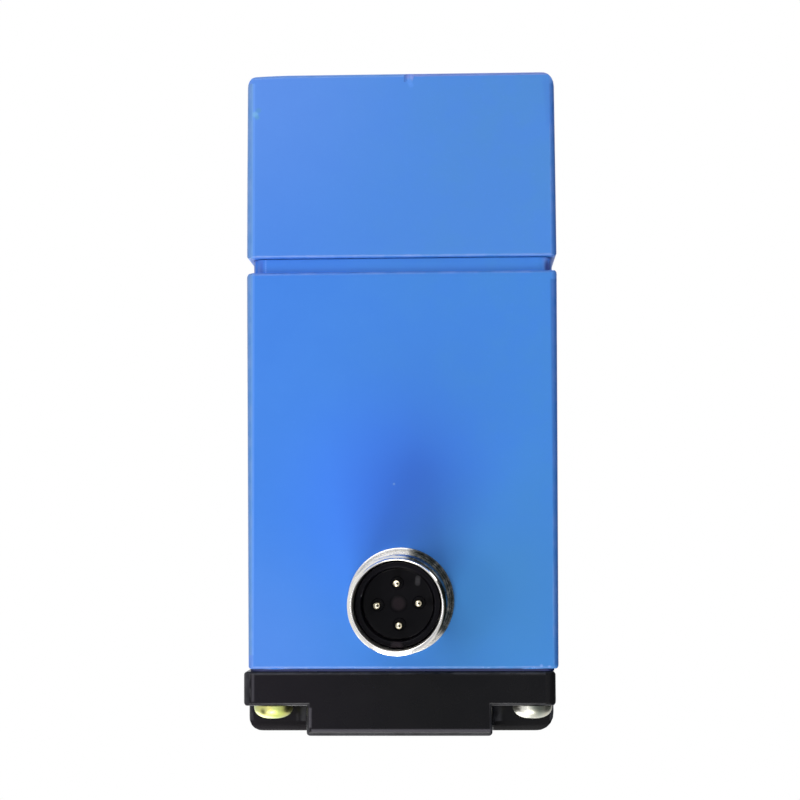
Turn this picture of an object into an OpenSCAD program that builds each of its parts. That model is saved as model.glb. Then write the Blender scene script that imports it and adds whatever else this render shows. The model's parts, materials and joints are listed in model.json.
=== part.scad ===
// Diffuse photoelectric sensor: a die-cast block housing with a screwed-on lens frame,
// a deep rear cover behind a groove, and a round 4-pin plug on the underside.
// X is the width, the optics look towards -Y, +Z is up and the plug points down.
// The origin is on the axis of the lower mounting bore, at mid-width.
// Inside the modules Y counts backwards from the front of the lens frame and Z upwards
// from the face that carries the plug; seat() moves a piece from there to its place.

/* [Case] */
// Width of the housing
case_w = 40; // [39:0.5:46]
// Height of the housing without the plug
case_h = 104; // [102:1:130]
// Length of the main housing between the lens frame and the groove
housing_l = 50.85; // [49:0.05:60]
// Thickness of the cast walls
wall = 2.2; // [1.8:0.1:2.8]
// Radius of the castings' long edges, along Y
edge_r = 0.9; // [0.3:0.1:1.2]
// Radius of the castings' edges at the lens frame and the groove
end_edge_r = 0.5; // [0.2:0.05:0.6]

/* [Groove and rear cover] */
// Length of the neck at the bottom of the groove
neck_l = 1.75; // [1:0.05:4]
// Depth of the groove
neck_inset = 0.75; // [0.4:0.05:1.1]
// Radius of the neck's corners
neck_r = 1.6; // [0.6:0.1:2.5]
// Length of the rear cover
cover_l = 24.1; // [20:0.1:34]
// Thickness of the flat seal, which lies in a rebate of the rear cover
cover_seal_t = 0.4; // [0.2:0.1:1]
// Gap between the neck and the rear cover
cover_gap = 0.1; // [0.05:0.05:0.2]
// Draft of the rear cover's sides, as the inset at its rear end
cover_draft = 0.1; // [0:0.05:0.5]
// Radius of the rear cover's rear corner on the +X side
corner_r_plus = 1.4; // [0.8:0.1:2]
// Radius of the rear cover's rear corner on the -X side
corner_r_minus = 1.9; // [0.8:0.1:2]
// Width of the dent in the rear edge
dent_w = 1.3; // [0.5:0.05:3]
// Length of the dent along the lower face
dent_l = 1.4; // [0.5:0.1:3]
// Depth of the dent
dent_depth = 0.4; // [0.1:0.05:1]
// Distance of the dent from mid-width, towards -X
dent_x = 1.2; // [-10:0.05:10]

/* [Lens frame] */
// Inset of the lens frame from the housing's outline, all round
frame_inset = 0.2; // [0:0.05:0.3]
// Sideways offset of the lens frame, towards +X
frame_shift = 0.5; // [0:0.05:0.5]
// Sideways offset of the lens frame's screws, towards +X
screw_shift = 0.15; // [0:0.05:0.3]
// Thickness of the lens frame's flange
flange_l = 4.2; // [3:0.1:6]
// Length of the front part with the corner pockets
step_l = 3.8; // [3.2:0.1:5]
// Width of a corner pocket
pocket_w = 8.05; // [7.4:0.05:9]
// Height of a corner pocket, from the end of the housing
pocket_h = 6.4; // [6.2:0.1:7]
// Radius in the inner corner of a pocket
pocket_r = 2; // [0.8:0.1:2.4]
// Radius of the frame's front corner on the +X side, seen along Z
front_r_plus = 1.5; // [0.8:0.1:2]
// Radius of the frame's front corner on the -X side, seen along Z
front_r_minus = 2; // [0.8:0.1:2]
// Radius of the front corners of the tongue between the pockets
tongue_r = 0.6; // [0.3:0.1:1]
// Rounding of the other front edges
front_edge_r = 0.8; // [0.3:0.1:1]
// Rounding of the flange's corners, seen along Y
flange_r = 1.2; // [0.6:0.1:1.6]
// Rounding of the flange's other edges
flange_edge_r = 0.6; // [0.2:0.05:0.7]
// Thickness of the flat seal between lens frame and housing
frame_seal_t = 0.3; // [0.2:0.1:1]
// Distance of the clear opening from the sides of the flange
window_side = 4.5; // [4.3:0.1:6]
// Distance of the clear opening from the ends of the housing
window_end = 11; // [10.8:0.2:16]
// Radius of the clear opening's corners
window_r = 2; // [1:0.1:4]
// Thickness of the lip in front of the glass
lip_t = 1.2; // [0.8:0.1:1.6]
// Width of the lip that carries the glass
lip_w = 2; // [1.2:0.1:2.2]
// Thickness of the glass
glass_t = 2; // [1.5:0.1:2.5]
// Thickness of the seal under the glass
glass_seal_t = 0.5; // [0.3:0.1:0.8]

/* [Screws] */
// Thread diameter of the lens frame's screws
frame_screw_d = 2.5; // [2:0.1:2.6]
// Head diameter of the lens frame's screws
frame_head_d = 5; // [4.4:0.1:5.2]
// Head height of the lens frame's screws
frame_head_h = 1.8; // [1.4:0.05:2]
// Length of the lens frame's screws under the head
frame_screw_l = 12; // [9:0.5:14]
// Distance of the lens frame's screws from the sides
frame_screw_x = 3.45; // [3.2:0.05:3.6]
// Distance of the lens frame's screws from the ends
frame_screw_z = 3.1; // [3:0.05:3.4]
// Thread diameter of the rear cover's screws
cover_screw_d = 3; // [2.5:0.1:3.2]
// Head diameter of the rear cover's screws
cover_head_d = 5.5; // [4.8:0.1:5.6]
// Head height of the rear cover's screws
cover_head_h = 2; // [1.6:0.1:2.4]
// Depth of the rear cover's counterbores
counterbore_l = 3; // [2.6:0.1:4]
// Distance of the rear cover's screws from the sides and ends
cover_screw_in = 4.6; // [4.5:0.1:5]
// Thread diameter of the small inner screws
inner_screw_d = 2; // [1.6:0.1:2.2]
// Head height of the small inner screws
inner_head_h = 1.2; // [0.9:0.1:1.4]

/* [Mounting bores] */
// Diameter of the two bores across the housing
bore_d = 5.3; // [4.3:0.1:5.5]
// Distance of a bore from the end of the housing
bore_end = 8; // [7.6:0.1:9]
// Distance of the bores from the groove
bore_to_groove = 10.25; // [10:0.05:12]
// Diameter of the flat face round each bore's mouth
face_d = 9.4; // [8:0.1:10]
// Depth of that face
face_depth = 0.4; // [0.1:0.1:0.6]

/* [Plug] */
// Outer diameter of the threaded sleeve
sleeve_d = 12; // [11.6:0.1:12.4]
// Inner diameter of the sleeve
sleeve_bore = 10.8; // [10.4:0.1:10.9]
// Length of the sleeve below the housing
plug_l = 15; // [12:0.5:17]
// Distance of the plug's axis from the front of the lens frame
plug_y = 17; // [16:0.25:20]
// Distance of the plug's axis from mid-width, towards +X
plug_x = 0.2; // [-1:0.1:1]
// Diameter of the collar
collar_d = 13.7; // [13.1:0.1:14.5]
// Thickness of the collar
collar_t = 1; // [0.8:0.1:1.5]
// Diameter of the shank in the wall
shank_d = 10; // [9.8:0.1:10.2]
// Depth of the insert's front behind the sleeve's rim
insert_inset = 3; // [0.5:0.1:3.4]
// Depth of the cup in the insert
cup_depth = 3; // [2:0.1:5]
// Depth of the pins' tips behind the sleeve's rim
pin_inset = 2.4; // [1:0.1:3.5]
// Diameter of the circle that the pins stand on
pin_circle = 5; // [4.8:0.1:5.2]
// Diameter of a pin
pin_d = 1; // [0.8:0.05:1.1]
// Turn of the insert about the plug's axis, in degrees
plug_turn = -3; // [-10:0.5:10]

/* [Optics] */
// Diameter of the receiver lens
receiver_d = 26; // [22:0.5:27]
// Diameter of the sender lens
sender_d = 14; // [10:0.5:16]
// Distance of the receiver's axis below the middle of the window
receiver_drop = 14; // [13:0.5:15]
// Distance of the sender's axis above the middle of the window
sender_rise = 20; // [19:0.5:21]
// Height of the receiver lens's dome
receiver_bulge = 3.4; // [2.4:0.1:4]
// Height of the sender lens's dome
sender_bulge = 2.2; // [1.6:0.1:2.6]
// Wall of the lens tubes
tube_wall = 1.4; // [1:0.1:1.6]
// Distance from the lenses' back faces to the optics board
focal_l = 24; // [22:0.5:25]

/* [Boards and status lamps] */
// Thickness of both boards
board_t = 1.6; // [1:0.1:2]
// Diameter of a storage capacitor
capacitor_d = 8; // [6:0.5:9]
// Length of a storage capacitor
capacitor_l = 12; // [8:0.5:13]
// Width of the indicator's head
indicator_w = 16; // [13:0.5:20]
// Length of the indicator's head
indicator_l = 6; // [5:0.5:8]
// Depth of the indicator's recess
indicator_depth = 1.2; // [1:0.1:1.5]
// Distance of a light pipe from mid-width
indicator_x = 4; // [3:0.5:5]
// Diameter of a light pipe
pipe_d = 3; // [2:0.1:3.4]

/* [Hidden] */
$fn = 64;

// Fits and cuts
gap = 0.1;          // clearance round a piece that is laid into a recess
play = 0.05;        // clearance of a thread, a lens or a pin in its hole
screw_gap = 0.2;    // clearance round a screw or its head where it passes through
past = 1;           // how far a cut runs past the face that it opens
arc_steps = 5;      // straight pieces in a quarter of a cast edge

// Places along Y, from the front of the lens frame
frame_l = step_l + flange_l;
housing_y0 = frame_l + frame_seal_t;
housing_y1 = housing_y0 + housing_l;
neck_y1 = housing_y1 + neck_l;
cover_seal_y1 = neck_y1 + cover_seal_t;
cover_y0 = neck_y1 + cover_gap;
cover_y1 = cover_y0 + cover_l;
bore_y = housing_y1 - bore_to_groove;
mid_z = case_h / 2;

// Inner width and height of the castings
inner_w = case_w - 2 * wall;
inner_z0 = wall;
inner_z1 = case_h - wall;

// Neck, seals and rear cover
cavity_r = 1.5;
seal_inset = 0.3;
neck_w = case_w - 2 * neck_inset;
rim_r = 0.45;
rear_edge_r = 0.6;

// Lens frame
frame_w = case_w - 2 * frame_inset;
tongue_w = frame_w - 2 * pocket_w;
frame_seal_w = frame_w - 2 * frame_shift - seal_inset;
window_w = frame_w - 2 * window_side;
rebate_w = window_w + 2 * lip_w;
rebate_end = window_end - lip_w;
rebate_r = window_r - 0.5;
glass_y0 = lip_t + glass_seal_t;
glass_y1 = glass_y0 + glass_t;

// Bosses and their screw holes
boss_floor = 1;
blind_end = 2;
frame_boss_r = 3;
frame_boss_l = frame_screw_l - flange_l + blind_end + boss_floor;
cover_boss_r = 3.1;
cover_boss_l = 9;
cover_seat_y = cover_y1 - counterbore_l;
cover_screw_l = cover_seat_y - neck_y1 + cover_boss_l - boss_floor - blind_end;
bore_boss_r = bore_d / 2 + 2.1;

// Plug
shank_l = 7.5;
shank_bore = shank_d - 1.7;
ring_t = 1.2;
ring_seat_d = shank_d + 2 * ring_t + 0.2;
ring_seat_l = ring_t - 0.2;
plug_wall = wall + 1;
nut_across = shank_d + 4;
nut_t = 3;
insert_d = sleeve_bore - 2 * play;
insert_wall = 1;
insert_floor_z = insert_inset + cup_depth - plug_l;
insert_back_z = shank_l + 0.3;
pin_tip_z = pin_inset - plug_l;
pin_tail_z = insert_back_z + 1.5;
lead_d = 1.1;
lead_bend = 2;

// Optics
carrier_y0 = housing_y0 + inner_head_h + gap;
carrier_plate_t = 2;
carrier_w = inner_w - 2 * gap;
lead_room = 8;
carrier_z0 = plug_wall + nut_t + lead_room;
carrier_z1 = case_h - frame_screw_z - frame_boss_r - 0.5;
lens_lip = 1;
lens_edge_t = 1.6;
lens_inset = 0.4;
tube_end_gap = 2.5;
receiver_z = mid_z - receiver_drop;
sender_z = mid_z + sender_rise;
lens_y0 = carrier_y0 + lens_inset;
optics_board_y = lens_y0 + lens_edge_t + focal_l;
board_gap = 2.2;
optics_board_w = carrier_w - 2 * board_gap;
optics_board_z0 = receiver_z - receiver_d / 2 - 2.5;
lamp_room = 5.5;
optics_board_z1 = sender_z + sender_d / 2 + lamp_room;
carrier_screw_x = inner_w / 2 - 3;
carrier_screw_low = 3;
carrier_screw_high = 5;
carrier_screw_z0 = carrier_z0 + carrier_screw_low;
carrier_screw_z1 = carrier_z1 - carrier_screw_high;
carrier_boss_r = 2.4;
carrier_boss_l = 9;
carrier_screw_l = carrier_plate_t + carrier_boss_l - boss_floor - blind_end;
post_r = 2;
post_x = optics_board_w / 2 - post_r - 0.4;
post_drop = 6;
post_z = sender_z - post_drop;
post_hole_l = 6;
board_screw_l = board_t + post_hole_l - blind_end;

// Main board
main_board_y = bore_y + bore_boss_r + 3.2;
main_board_w = inner_w - 1.6;
main_board_end = 11;
board_boss_x = inner_w / 2 - 3;
board_boss_z = bore_end + bore_boss_r + carrier_boss_r + 1.2;
board_boss_l = post_hole_l + 2;

// Small parts on the boards: sizes are width, length along Y, height
diode_size = [6, 1.4, 8];
diode_z = receiver_z - 1;
shield_size = [18, 4, 16];
shield_sheet = 0.3;
chip_size = [10, 1.4, 10];
regulator_size = [6.6, 2.3, 9];
part_offset = 20;
regulator_z = mid_z + part_offset;
capacitor_x = capacitor_d / 2 + 1.5;
capacitor_z = mid_z - part_offset;
socket_size = [13, 2.5, 2.7];
tape_w = 10;
tape_t = 0.3;
tape_bow = 2;

// Indicator
led_size = [2.2, 1.4, 1.4];
led_z = optics_board_z1 - led_size.z / 2;
indicator_y = optics_board_y - led_size.y / 2;
indicator_seal_t = 0.4;
pipe_gap = 0.4;

blue_paint = [0.30, 0.54, 0.90];
dark_plastic = [0.14, 0.14, 0.16];
nickel = [0.78, 0.78, 0.76];
yellow_zinc = [0.80, 0.74, 0.52];
gold = [0.90, 0.72, 0.32];
rubber = [0.08, 0.10, 0.20];
board_green = [0.10, 0.38, 0.22];
bright_steel = [0.72, 0.73, 0.74];
chip_grey = [0.18, 0.18, 0.19];
solder_tin = [0.80, 0.81, 0.80];
clear_glass = [0.75, 0.85, 0.88, 0.45];

// Moves a piece from the case's own coordinates to the frame on the lower mounting bore
module seat() translate([0, -bore_y, -bore_end]) children();

// Extrusions along each axis: the outline's own X and Y become the two other axes, in order
module along_x(x0, x1) translate([x0, 0, 0]) rotate([90, 0, 90]) linear_extrude(x1 - x0) children();
module along_y(y0, y1) translate([0, y1, 0]) rotate([90, 0, 0]) linear_extrude(y1 - y0) children();
module along_z(z0, z1) translate([0, 0, z0]) linear_extrude(z1 - z0) children();

// Round bar or hole along an axis, from one place to another
module rod_y(x, z, r, y0, y1) translate([x, y1, z]) rotate([90, 0, 0]) cylinder(r = r, h = y1 - y0);
module rod_z(x, y, r, z0, z1) translate([x, y, z0]) cylinder(r = r, h = z1 - z0);

// Points of an arc, and of a rectangle whose four corners each have their own radius,
// counted from the upper right corner anticlockwise
function arc(c, r, a0, a1) =
    [for (i = [0:arc_steps]) let (a = a0 + (a1 - a0) * i / arc_steps) c + r * [cos(a), sin(a)]];
function rounded(a0, a1, b0, b1, r) = concat(
    arc([a1 - r[0], b1 - r[0]], r[0], 0, 90),
    arc([a0 + r[1], b1 - r[1]], r[1], 90, 180),
    arc([a0 + r[2], b0 + r[2]], r[2], 180, 270),
    arc([a1 - r[3], b0 + r[3]], r[3], 270, 360)
);
module rounded_box(a0, a1, b0, b1, r) polygon(rounded(a0, a1, b0, b1, [r, r, r, r]));

// Block with rounded edges, centred on mid-width and on the middle of the case's height.
// rx and rz give the edges along X and Z at the back and the front, ry the edges along Y and
// corners the front edges along Z on the -X and the +X side
module soft_block(w, y0, y1, z0, rx, ry, rz, corners) intersection() {
    along_x(-w / 2, w / 2) polygon(rounded(y0, y1, z0, case_h - z0, [rx[0], rx[1], rx[1], rx[0]]));
    along_y(y0, y1) rounded_box(-w / 2, w / 2, z0, case_h - z0, ry);
    along_z(z0, case_h - z0) polygon(rounded(-w / 2, w / 2, y0, y1, [rz, rz, corners[0], corners[1]]));
}
module plain_block(x0, x1, y0, y1, z0, z1) translate([x0, y0, z0]) cube([x1 - x0, y1 - y0, z1 - z0]);

// Repeats what is drawn for the lower corner on the +X side in all four corners, or in two halves
module left_and_right() for (side = [0, 1]) mirror([side, 0, 0]) children();
module both_ends() for (end = [0, 1]) translate([0, 0, end * case_h]) mirror([0, 0, end]) children();
module four_corners() both_ends() left_and_right() children();
module frame_screw_places() four_corners()
    translate([case_w / 2 - frame_screw_x, 0, frame_screw_z]) children();
module cover_screw_places() four_corners()
    translate([case_w / 2 - cover_screw_in, 0, cover_screw_in]) children();

// Screw boss in a corner: a round column with webs out to both walls
module corner_boss(x, z, r, y0, y1) {
    rod_y(x, z, r, y0, y1);
    plain_block(x - r, case_w / 2 - wall / 2, y0, y1, wall / 2, z);
    plain_block(x, case_w / 2 - wall / 2, y0, y1, wall / 2, z + r);
}

// Screw boss on a side wall
module side_boss(x, z, r, y0, y1) {
    rod_y(x, z, r, y0, y1);
    plain_block(x, case_w / 2 - wall / 2, y0, y1, z - r, z + r);
}

// Screw along Y with its head towards -Y: seat is the face under the head
module screw(x, z, seat_y, d, l, head_d, head_h) {
    slot_w = head_d * 0.14;
    slot_l = head_d * 0.56;
    slot_depth = head_h * 0.55;
    crown = head_h * 0.45;
    translate([x, seat_y, z]) rotate([90, 0, 0]) difference() {
        union() {
            translate([0, 0, -l]) cylinder(d = d, h = l);
            rotate_extrude() polygon(concat(
                [[0, 0], [head_d / 2, 0]],
                [for (i = [0:arc_steps]) let (a = 90 * i / arc_steps)
                    [head_d / 2 - crown + crown * cos(a), head_h - crown + crown * sin(a)]],
                [[0, head_h]]
            ));
        }
        for (turn = [0, 90]) rotate([0, 0, turn]) translate([-slot_l / 2, -slot_w / 2, head_h - slot_depth])
            cube([slot_l, slot_w, slot_depth + past]);
    }
}

// Front view of a flat ring between two rounded outlines, used for seals
module ring_outline(w_out, z_out, r_out, w_in, z_in, r_in) difference() {
    rounded_box(-w_out / 2, w_out / 2, z_out, case_h - z_out, r_out);
    rounded_box(-w_in / 2, w_in / 2, z_in, case_h - z_in, r_in);
}

module cavity(y0, y1) along_y(y0, y1)
    rounded_box(-inner_w / 2, inner_w / 2, inner_z0, inner_z1, cavity_r);

module main_housing() color(blue_paint) seat() difference() {
    union() {
        difference() {
            union() {
                soft_block(case_w, housing_y0, housing_y1, 0,
                    [end_edge_r, end_edge_r], edge_r, end_edge_r, [end_edge_r, end_edge_r]);
                along_y(housing_y1 - past, neck_y1)
                    rounded_box(-neck_w / 2, neck_w / 2, neck_inset, case_h - neck_inset, neck_r);
            }
            cavity(housing_y0 - past, neck_y1 + past);
        }
        four_corners() {
            corner_boss(case_w / 2 - frame_screw_x, frame_screw_z, frame_boss_r,
                housing_y0, housing_y0 + frame_boss_l);
            corner_boss(case_w / 2 - cover_screw_in, cover_screw_in, cover_boss_r,
                neck_y1 - cover_boss_l, neck_y1 - 0.2);
        }
        both_ends() {
            along_x(-case_w / 2 + wall / 2, case_w / 2 - wall / 2) translate([bore_y, bore_end])
                circle(r = bore_boss_r);
            plain_block(-case_w / 2 + wall / 2, case_w / 2 - wall / 2,
                bore_y - bore_boss_r, bore_y + bore_boss_r, wall / 2, bore_end);
            left_and_right() side_boss(board_boss_x, board_boss_z, carrier_boss_r,
                main_board_y - board_boss_l, main_board_y);
        }
        left_and_right() for (z = [carrier_screw_z0, carrier_screw_z1])
            side_boss(carrier_screw_x, z, carrier_boss_r, carrier_y0 + carrier_plate_t,
                carrier_y0 + carrier_plate_t + carrier_boss_l);
        rod_z(plug_x, plug_y, nut_across / 2 + 1.6, wall / 2, plug_wall);
    }
    both_ends() {
        along_x(-case_w / 2 - past, case_w / 2 + past) translate([bore_y, bore_end]) circle(d = bore_d);
        left_and_right() along_x(case_w / 2 - face_depth, case_w / 2 + past) translate([bore_y, bore_end])
            circle(d = face_d);
        left_and_right() rod_y(board_boss_x, board_boss_z, inner_screw_d / 2 + play,
            main_board_y - post_hole_l, main_board_y + past);
    }
    translate([screw_shift, 0, 0]) frame_screw_places()
        rod_y(0, 0, frame_screw_d / 2 + play, housing_y0 - past, housing_y0 + frame_boss_l - boss_floor);
    cover_screw_places()
        rod_y(0, 0, cover_screw_d / 2 + play, neck_y1 - cover_boss_l + boss_floor, neck_y1 + past);
    left_and_right() for (z = [carrier_screw_z0, carrier_screw_z1])
        rod_y(carrier_screw_x, z, inner_screw_d / 2 + play, carrier_y0,
            carrier_y0 + carrier_plate_t + carrier_boss_l - boss_floor);
    rod_z(plug_x, plug_y, shank_d / 2 + play, -past, plug_wall + past);
    rod_z(plug_x, plug_y, ring_seat_d / 2, -past, ring_seat_l);
    along_z(case_h - indicator_depth, case_h + past) indicator_outline(gap);
    for (x = [-indicator_x, indicator_x])
        rod_z(x, indicator_y, pipe_d / 2 + gap, inner_z1 - past, case_h + past);
}

// Outline of the rear cover seen along Z: drafted sides and two different rear corners
module cover_plan() {
    rear_half = case_w / 2 - cover_draft;
    polygon(concat(
        arc([-case_w / 2 + rim_r, cover_y0 + rim_r], rim_r, 180, 270),
        arc([case_w / 2 - rim_r, cover_y0 + rim_r], rim_r, 270, 360),
        arc([rear_half - corner_r_plus, cover_y1 - corner_r_plus], corner_r_plus, 0, 90),
        arc([-rear_half + corner_r_minus, cover_y1 - corner_r_minus], corner_r_minus, 90, 180)
    ));
}

// Outer outline of the seal, or of its rebate with a gap all round
module seal_seat(grow) {
    side = neck_w / 2 - seal_inset + grow;
    end = neck_inset + seal_inset - grow;
    rounded_box(-side, side, end, case_h - end, neck_r + grow);
}

module rear_cover() color(blue_paint) seat() difference() {
    dent_r = (dent_w * dent_w / 4 + dent_depth * dent_depth) / (2 * dent_depth);
    union() {
        difference() {
            intersection() {
                along_z(0, case_h) cover_plan();
                along_x(-case_w / 2, case_w / 2)
                    polygon(rounded(cover_y0, cover_y1, 0, case_h, [rear_edge_r, rim_r, rim_r, rear_edge_r]));
                along_y(cover_y0, cover_y1) rounded_box(-case_w / 2, case_w / 2, 0, case_h, edge_r);
            }
            cavity(cover_y0 - past, cover_y1 - wall);
            along_y(cover_y0 - past, cover_seal_y1) seal_seat(gap);
        }
        four_corners() corner_boss(case_w / 2 - cover_screw_in, cover_screw_in, cover_boss_r + 0.3,
            cover_seal_y1, cover_y1 - wall);
    }
    cover_screw_places() {
        rod_y(0, 0, cover_screw_d / 2 + screw_gap, cover_y0 - past, cover_y1 + past);
        rod_y(0, 0, cover_head_d / 2 + screw_gap, cover_seat_y, cover_y1 + past);
    }
    translate([-dent_x, cover_y1, dent_depth - dent_r]) rotate([90 + atan(dent_depth / dent_l), 0, 0])
        cylinder(r = dent_r, h = 4 * dent_l, center = true);
}

module rear_cover_seal() color(rubber) seat() along_y(neck_y1, cover_seal_y1) difference() {
    seal_seat(0);
    rounded_box(-inner_w / 2, inner_w / 2, inner_z0, inner_z1, cavity_r);
    four_corners_2d(case_w / 2 - cover_screw_in, cover_screw_in) circle(r = cover_screw_d / 2 + screw_gap);
}

// Repeats an outline at four corner points of the front view
module four_corners_2d(x, z) for (sx = [-1, 1], z2 = [z, case_h - z]) translate([sx * x, z2]) children();

module rear_cover_screws() color(bright_steel) seat() cover_screw_places()
    translate([0, 2 * cover_seat_y, 0]) mirror([0, 1, 0])
        screw(0, 0, cover_seat_y, cover_screw_d, cover_screw_l, cover_head_d, cover_head_h);

// Fillet between the tongue and the shoulder of the lens frame's front part
module pocket_fillet() along_y(front_edge_r, step_l) {
    x = tongue_w / 2;
    polygon(concat(
        [[x - past, pocket_h + past], [x - past, pocket_h - pocket_r]],
        arc([x + pocket_r, pocket_h - pocket_r], pocket_r, 180, 90),
        [[x + pocket_r, pocket_h + past]]
    ));
}

// Moulded frame: a flange over the whole outline, and in front of it a full-width part between
// the pockets and a tongue out to both ends
module lens_frame() color(dark_plastic) seat() translate([frame_shift, 0, 0]) difference() {
    back_r = flange_edge_r;
    union() {
        soft_block(frame_w, step_l, frame_l, frame_inset, [back_r, back_r], flange_r, back_r, [back_r, back_r]);
        soft_block(frame_w, 0, frame_l, pocket_h, [back_r, front_edge_r], front_edge_r, back_r,
            [front_r_minus, front_r_plus]);
        soft_block(tongue_w, 0, frame_l, frame_inset, [back_r, front_edge_r], tongue_r, back_r,
            [tongue_r, tongue_r]);
        four_corners() pocket_fillet();
    }
    along_y(-past, frame_l + past)
        rounded_box(-window_w / 2, window_w / 2, window_end, case_h - window_end, window_r);
    along_y(lip_t, frame_l + past)
        rounded_box(-rebate_w / 2, rebate_w / 2, rebate_end, case_h - rebate_end, rebate_r);
    translate([screw_shift - frame_shift, 0, 0]) frame_screw_places()
        rod_y(0, 0, frame_screw_d / 2 + play, step_l - past, frame_l + past);
}

module front_window() color(clear_glass) seat() translate([frame_shift, 0, 0]) along_y(glass_y0, glass_y1)
    rounded_box(-rebate_w / 2 + gap, rebate_w / 2 - gap, rebate_end + gap, case_h - rebate_end - gap,
        rebate_r - gap);

module window_seal() color(rubber) seat() translate([frame_shift, 0, 0]) along_y(lip_t, glass_y0)
    ring_outline(rebate_w - 2 * gap, rebate_end + gap, rebate_r - gap,
        window_w + 2 * seal_inset, window_end - seal_inset, window_r);

module lens_frame_seal() color(rubber) seat() along_y(frame_l, housing_y0) difference() {
    ring_outline(frame_seal_w, frame_inset + seal_inset, flange_r, inner_w, inner_z0, cavity_r);
    translate([screw_shift, 0]) four_corners_2d(case_w / 2 - frame_screw_x, frame_screw_z)
        circle(r = frame_screw_d / 2 + screw_gap);
}

module lens_frame_screws() color(yellow_zinc) seat() translate([screw_shift, 0, 0]) frame_screw_places()
    screw(0, 0, step_l, frame_screw_d, frame_screw_l, frame_head_d, frame_head_h);

// Turned sleeve of the plug: chamfered rim, collar on the housing and a shank through its wall
module connector_sleeve() color(nickel) seat() translate([plug_x, plug_y, 0]) rotate_extrude() {
    rim_c = 0.2;
    polygon([
        [sleeve_bore / 2, -plug_l], [sleeve_d / 2 - rim_c, -plug_l], [sleeve_d / 2, rim_c - plug_l],
        [sleeve_d / 2, -collar_t], [collar_d / 2, -collar_t], [collar_d / 2, 0], [shank_d / 2, 0],
        [shank_d / 2, shank_l], [shank_bore / 2, shank_l], [shank_bore / 2, -collar_t],
        [sleeve_bore / 2, -collar_t]
    ]);
}

// Moulded insert: a cup round the pins with its coding rib at the front, on a neck in the shank
module connector_insert() color(dark_plastic) seat() translate([plug_x, plug_y, 0]) rotate([0, 0, plug_turn]) {
    cup_z0 = insert_inset - plug_l;
    rib_w = 1.75;
    rib_h = 0.3;
    rib_over = 0.3;
    blank_d = 2;
    blank_h = 0.25;
    root = 0.5;
    difference() {
        union() {
            cylinder_between(insert_d / 2, cup_z0, -collar_t);
            cylinder_between(shank_bore / 2 - play, -collar_t - past, insert_back_z);
        }
        cylinder_between(insert_d / 2 - insert_wall, cup_z0 - past, insert_floor_z);
        pin_places() cylinder_between(pin_d / 2 + play, insert_floor_z - past, insert_back_z + past);
    }
    plain_block(-rib_w / 2, rib_w / 2, -insert_d / 2 + rib_h, -insert_d / 2 + insert_wall + rib_h,
        cup_z0 - rib_over, insert_floor_z + root);
    cylinder_between(blank_d / 2, insert_floor_z - blank_h, insert_floor_z + root);
}

module cylinder_between(r, z0, z1) translate([0, 0, z0]) cylinder(r = r, h = z1 - z0);

module pin_places() for (turn = [0:90:270]) rotate([0, 0, turn]) translate([pin_circle / 2, 0, 0]) children();

module contact_pins() color(gold) seat() translate([plug_x, plug_y, 0]) rotate([0, 0, plug_turn]) pin_places() {
    cylinder_between(pin_d / 2, pin_tip_z + pin_d / 2, pin_tail_z);
    translate([0, 0, pin_tip_z + pin_d / 2]) sphere(d = pin_d);
}

module connector_o_ring() color(rubber) seat() translate([plug_x, plug_y, ring_seat_l / 2]) rotate_extrude()
    translate([shank_d / 2 + ring_t / 2, 0]) intersection() {
        circle(d = ring_t, $fn = 32);
        square([ring_t, ring_seat_l], center = true);
    }

module connector_nut() color(nickel) seat() translate([plug_x, plug_y, 0]) difference() {
    translate([0, 0, plug_wall]) cylinder(d = nut_across / cos(30), h = nut_t, $fn = 6);
    cylinder_between(shank_d / 2 + play, plug_wall - past, plug_wall + nut_t + past);
}

// Four leads from the pins' tails: each rises, bends back and runs to the main board
module connector_leads() color([0.75, 0.30, 0.12]) seat() for (i = [0:3]) {
    angle = plug_turn + 90 * i;
    x = plug_x + pin_circle / 2 * cos(angle);
    y = plug_y + pin_circle / 2 * sin(angle);
    run_z = board_boss_z + (i == 3 ? lead_d + 0.5 : 0);
    rod_z(x, y, lead_d / 2, pin_tail_z, run_z - lead_bend);
    translate([x, y + lead_bend, run_z - lead_bend]) rotate([90, 0, -90])
        rotate_extrude(angle = 90) translate([lead_bend, 0]) circle(d = lead_d);
    rod_y(x, run_z, lead_d / 2, y + lead_bend, main_board_y);
}

// Tube that holds a lens at its front and keeps stray light off the board
module lens_tube(z, d) rod_y(0, z, d / 2 + tube_wall, carrier_y0 + past,
    optics_board_y - tube_end_gap);
module lens_hole(z, d) {
    rod_y(0, z, d / 2 - lens_lip, carrier_y0 - past, optics_board_y);
    rod_y(0, z, d / 2 + play, carrier_y0 - past, lens_y0 + lens_edge_t);
}

module optics_carrier() color(chip_grey) seat() difference() {
    union() {
        along_y(carrier_y0, carrier_y0 + carrier_plate_t)
            rounded_box(-carrier_w / 2, carrier_w / 2, carrier_z0, carrier_z1, 1.4);
        lens_tube(receiver_z, receiver_d);
        lens_tube(sender_z, sender_d);
        left_and_right() rod_y(post_x, post_z, post_r, carrier_y0 + past, optics_board_y);
    }
    lens_hole(receiver_z, receiver_d);
    lens_hole(sender_z, sender_d);
    left_and_right() for (z = [carrier_screw_z0, carrier_screw_z1])
        rod_y(carrier_screw_x, z, inner_screw_d / 2 + screw_gap, carrier_y0 - past,
            carrier_y0 + carrier_plate_t + past);
    left_and_right() rod_y(post_x, post_z, inner_screw_d / 2 + play, optics_board_y - post_hole_l,
        optics_board_y + past);
}

module inner_screw(x, z, seat_y, l) screw(x, z, seat_y, inner_screw_d, l, 1.8 * inner_screw_d, inner_head_h);

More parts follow.
